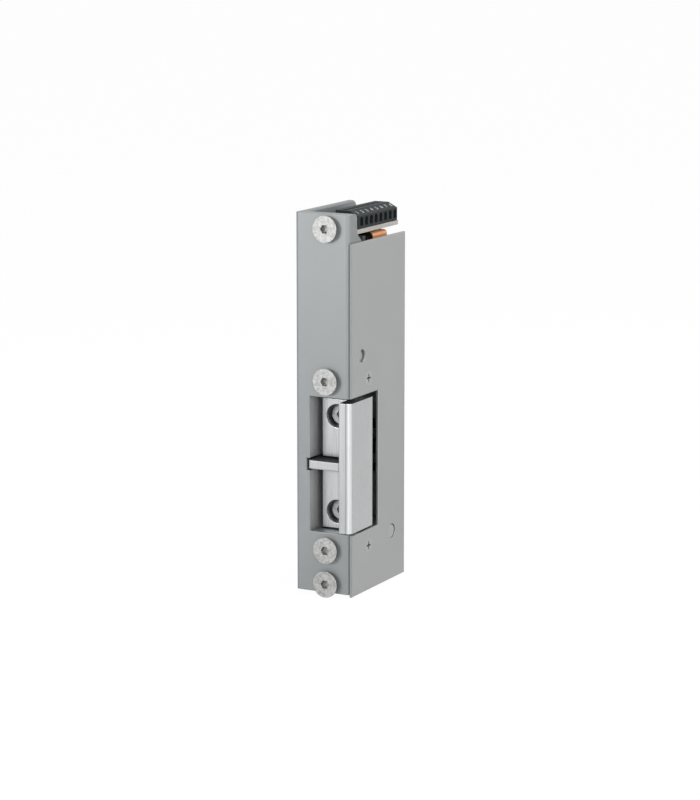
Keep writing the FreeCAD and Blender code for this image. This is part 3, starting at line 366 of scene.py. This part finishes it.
plastics = {
    "blackPlastic": {"colour": (0.006, 0.008, 0.009), "pale": (0.011, 0.014, 0.015), "rough": (0.55, 0.65)},
    "redPlastic": {"colour": (0.35, 0.03, 0.02), "pale": (0.45, 0.05, 0.03), "rough": (0.35, 0.45)},
}
plasticSkin = {"gloss": 0.2, "cloud": 180, "spark": 3600, "sparkShare": 0.6, "scuff": 0.03, "wear": 0.7,
               "depth": 0.01 * mm, "bump": 0.4, "edgeRadius": 0.15 * mm, "wornRadius": 0.2 * mm}


def makePlastic(name):
    tone = plastics[name]
    f = Finish(name, Specular_IOR_Level=plasticSkin["gloss"])
    cloud = f.noise(plasticSkin["cloud"], 3)
    spark = f.noise(plasticSkin["spark"], 2)
    worn = f.edges(plasticSkin["wornRadius"])
    scuffed = tuple(c + plasticSkin["scuff"] for c in tone["pale"])
    moulded = f.between(f.span(cloud, 0, 1), tone["colour"], tone["pale"])
    f.set(Base_Color=f.between(worn * plasticSkin["wear"], moulded, scuffed))
    f.set(Roughness=f.span(blended(spark, cloud, plasticSkin["sparkShare"]), *tone["rough"]))
    f.bump(spark, plasticSkin)
    return f.material


oneBand = 0.314    # at this scale a wave texture has one band to the metre
winding = {"copper": (0.46, 0.16, 0.054), "pale": (0.64, 0.28, 0.12), "frontDark": (0.012, 0.009, 0.007),
           "frontDarkWidth": 0.6 * mm, "metal": 0.35, "coat": 0.35, "rough": (0.24, 0.36),
           "wire": 0.32 * mm, "uneven": 0.4, "cloud": 120, "cloudShare": 0.6,
           "depth": 0.03 * mm, "bump": 0.5}


def makeWinding():
    # enamelled turns under clear tape: fine ridges that run round the coil, and a dark end at its front
    f = Finish("copperWinding", Metallic=winding["metal"], Coat_Weight=winding["coat"])
    bands = {"wave_type": "BANDS", "bands_direction": "Y"}
    scale = oneBand / winding["wire"]
    inputs = {"Vector": f.place, "Scale": scale, "Distortion": winding["uneven"], "Detail": 1.0}
    turns = f.add("ShaderNodeTexWave", bands, inputs)
    cloud = f.noise(winding["cloud"], 3)
    tone = f.span(blended(cloud, turns, winding["cloudShare"]), 0, 1)
    copper = f.between(tone, winding["copper"], winding["pale"])
    # the colour is dark over the first stretch at the front of the winding
    along = f.parts(f.place)[1]
    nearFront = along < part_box("coil_winding")[0].y + winding["frontDarkWidth"]
    f.set(Base_Color=f.between(nearFront, copper, winding["frontDark"]))
    f.set(Roughness=f.span(cloud, *winding["rough"]))
    f.bump(turns, winding, rounds=False)
    return f.material


laminate = {"colour": (0.225, 0.213, 0.192), "pale": (0.275, 0.262, 0.238), "rough": (0.38, 0.5),
            "layer": 0.2512 * mm, "uneven": 0.6, "weave": 1500,
            "depth": 0.01 * mm, "bump": 0.4, "edgeRadius": 0.1 * mm}


def makeLaminate():
    # glass laminate: woven faces, layered edge
    f = Finish("boardLaminate")
    bands = {"wave_type": "BANDS", "bands_direction": "Z"}
    inputs = {"Vector": f.place, "Scale": oneBand / laminate["layer"], "Distortion": laminate["uneven"]}
    layers = f.add("ShaderNodeTexWave", bands, inputs)
    weave = f.noise(laminate["weave"], 2)
    f.set(Base_Color=f.between(blended(layers, weave), laminate["colour"], laminate["pale"]))
    f.set(Roughness=f.span(weave, *laminate["rough"]))
    f.bump(weave, laminate)
    return f.material


ink = {"colour": (0.42, 0.44, 0.44), "thin": (0.336, 0.352, 0.352), "rough": 0.55, "patches": 2500}


def makeInk():
    f = Finish("markingInk", Roughness=ink["rough"])
    f.set(Base_Color=f.between(f.noise(ink["patches"], 2), ink["thin"], ink["colour"]))
    return f.material


finishes = {
    "zinc_casting": makeCastZinc(),
    "zinc_plated_sheet": makeCoverSheet(),
    "satin_nickel": makeSatinNickel("satinNickel"),
    "copper_winding": makeWinding(),
    "board_laminate": makeLaminate(),
    "black_plastic": makePlastic("blackPlastic"),
    "red_plastic": makePlastic("redPlastic"),
    "zinc_plated_steel": makeMetal("zincPlatedSteel"),
    "sintered_steel": makeMetal("sinteredSteel"),
    "hardened_steel": makeMetal("hardenedSteel"),
    "magnet_iron": makeMetal("magnetIron"),
    "tinned_copper": makeMetal("tinnedCopper"),
    "spring_steel": makeMetal("springSteel"),
}

# the cover's screws and pins are plated like its sheet; the feeler is duller and gets deeper painted shade
# on its top and where it runs in its slot
coverHardware = makeMetal("coverHardware")
special = {
    "cover_screws": coverHardware,
    "locating_pin": coverHardware,
    "rear_pin": makeRearPin(),
    "latch_feeler": makeSatinNickel("feelerNickel"),
}
for part in frame["record"]["subparts"]:
    mesh = nodes[part["node"]].data
    mesh.materials.clear()
    mesh.materials.append(special.get(part["node"], finishes[part["material_slot"]]))
print("finishes set")

# return springs, with the joint each sits on, how far it closes and which end is fixed; each is copied onto
# the case in place of the imported part
springs = {"feeler_spring": {"joint": "feeler_slide", "closes": 4.6 * mm, "fixed": "back"},
           "lever_spring": {"joint": "lever_tilt", "closes": 1.2 * mm, "fixed": "front"}}


def makeSpring(name):
    spring = springs[name]
    coil = bpy.data.objects.new(spring["joint"] + "Coil", nodes[name].data.copy())
    bpy.context.collection.objects.link(coil)
    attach(coil, "case")
    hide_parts(name)
    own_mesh(coil)


for name in springs:
    makeSpring(name)
print("springs fitted:", len(springs))

# numbers on the sloping face of the terminal block
numbers = {"count": 8, "size": 2.3 * mm, "pitch": 3.81 * mm, "raised": 0.03 * mm,
           "flatTo": 2.7 * mm, "drop": 1.9 * mm, "firstFromFront": 2.7 * mm}


def markTerminals():
    low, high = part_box("terminal_block")
    slope = math.atan2(numbers["drop"], high.x - numbers["flatTo"])
    middle = Vector(((high.x + numbers["flatTo"]) / 2, 0, high.z - numbers["drop"] / 2))
    outward = Vector((math.sin(slope), 0, math.cos(slope)))
    spot = middle + outward * numbers["raised"] * 0.5
    # the text reads from the side with the wire entries
    right = Vector((0, 1, 0))
    up = Vector((-math.cos(slope), 0, math.sin(slope)))
    turn = Matrix((right, up, outward)).transposed().to_euler()
    inkFinish = makeInk()
    for i in range(numbers["count"]):
        text = bpy.data.curves.new(f"number{i + 1}", "FONT")
        text.body = str(i + 1)
        text.size = numbers["size"]
        text.align_x = "CENTER"
        text.align_y = "CENTER"
        text.extrude = numbers["raised"]
        text.materials.append(inkFinish)
        piece = bpy.data.objects.new(f"terminalNumber{i + 1}", text)
        bpy.context.collection.objects.link(piece)
        piece.location = (spot.x, low.y + numbers["firstFromFront"] + i * numbers["pitch"], spot.z)
        piece.rotation_euler = turn
        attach(piece, "case")


markTerminals()
print("numbers on:", numbers["count"])

# floor, light and camera
studio = {"floorDrop": 0.2 * mm, "floorSize": 60.0, "floor": (0.92, 0.92, 0.92), "floorRough": 0.9,
          "glow": 0.97, "world": 0.45, "aim": (0, 0.02, 0.02)}


def whichRays(tree):
    # 1 for what the camera, a gloss or a clear surface sees, 0 for light that falls on things
    path = tree.nodes.new("ShaderNodeLightPath")
    camera, gloss, clear = (Sock(tree, path.outputs[f"Is {ray} Ray"])
                            for ray in ("Camera", "Glossy", "Transmission"))
    return (camera + gloss + clear).calc("MINIMUM", 1.0)


def makeStage():
    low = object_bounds()[0]
    bpy.ops.mesh.primitive_plane_add(size=studio["floorSize"], location=(0, 0, low.z - studio["floorDrop"]))
    floor = bpy.context.object
    floor.name = "floor"
    f = Finish("paleFloor", Roughness=studio["floorRough"], Base_Color=studio["floor"])
    seen = whichRays(f.tree)
    glow = f.add("ShaderNodeEmission", inputs={"Color": (1, 1, 1), "Strength": 1.0})
    surface = Sock(f.tree, f.shader.outputs[0])
    mixed = f.add("ShaderNodeMixShader", inputs={0: seen * studio["glow"], 1: surface, 2: glow})
    f.tree.links.new(mixed.socket, f.tree.nodes["Material Output"].inputs["Surface"])
    floor.data.materials.append(f.material)


def makeWorld():
    world = bpy.data.worlds.new("studioWorld")
    bpy.context.scene.world = world
    world.use_nodes = True
    tree = world.node_tree
    tree.nodes.clear()
    strength = whichRays(tree) * (1.0 - studio["world"]) + studio["world"]
    back = tree.nodes.new("ShaderNodeBackground")
    feed(tree, back.inputs["Strength"], strength)
    feed(tree, back.inputs["Color"], (1, 1, 1))
    out = tree.nodes.new("ShaderNodeOutputWorld")
    tree.links.new(back.outputs[0], out.inputs["Surface"])


lamps = {"key": {"spot": (-0.41, -0.74, 0.20), "size": (0.35, 0.30), "power": 4.5},
         "fill": {"spot": (0.56, -0.78, 0.26), "size": (0.40, 0.40), "power": 5.0},
         "top": {"spot": (0.10, 0.05, 0.80), "size": (0.5, 0.5), "power": 5.0},
         "side": {"spot": (0.62, 0.02, 0.38), "size": (0.35, 0.35), "power": 3.2}}


def makeLamp(name):
    lamp = bpy.data.lights.new(name + "Lamp", "AREA")
    lamp.shape = "RECTANGLE"
    lamp.size, lamp.size_y = lamps[name]["size"]
    lamp.energy = lamps[name]["power"]
    holder = bpy.data.objects.new(name + "Lamp", lamp)
    bpy.context.collection.objects.link(holder)
    holder.location = lamps[name]["spot"]
    aim = Vector(studio["aim"]) - holder.location
    holder.rotation_euler = aim.to_track_quat("-Z", "Y").to_euler()


camera = {"place": (0.46029, -0.85590, 0.21207), "turn": 27.778, "tilt": 10.082,
          "lens": 122.712, "sensor": 36.0, "rise": -0.05}


def makeCamera():
    data = bpy.data.cameras.new("camera")
    data.lens = camera["lens"]
    data.sensor_width = camera["sensor"]
    data.shift_y = camera["rise"]
    holder = bpy.data.objects.new("camera", data)
    bpy.context.collection.objects.link(holder)
    holder.location = camera["place"]
    holder.rotation_euler = (math.radians(90 - camera["tilt"]), 0, math.radians(camera["turn"]))
    bpy.context.scene.camera = holder


makeStage()
makeWorld()
for name in lamps:
    makeLamp(name)
makeCamera()
bpy.context.scene.view_settings.view_transform = "Standard"
print("stage, lamps and camera set")
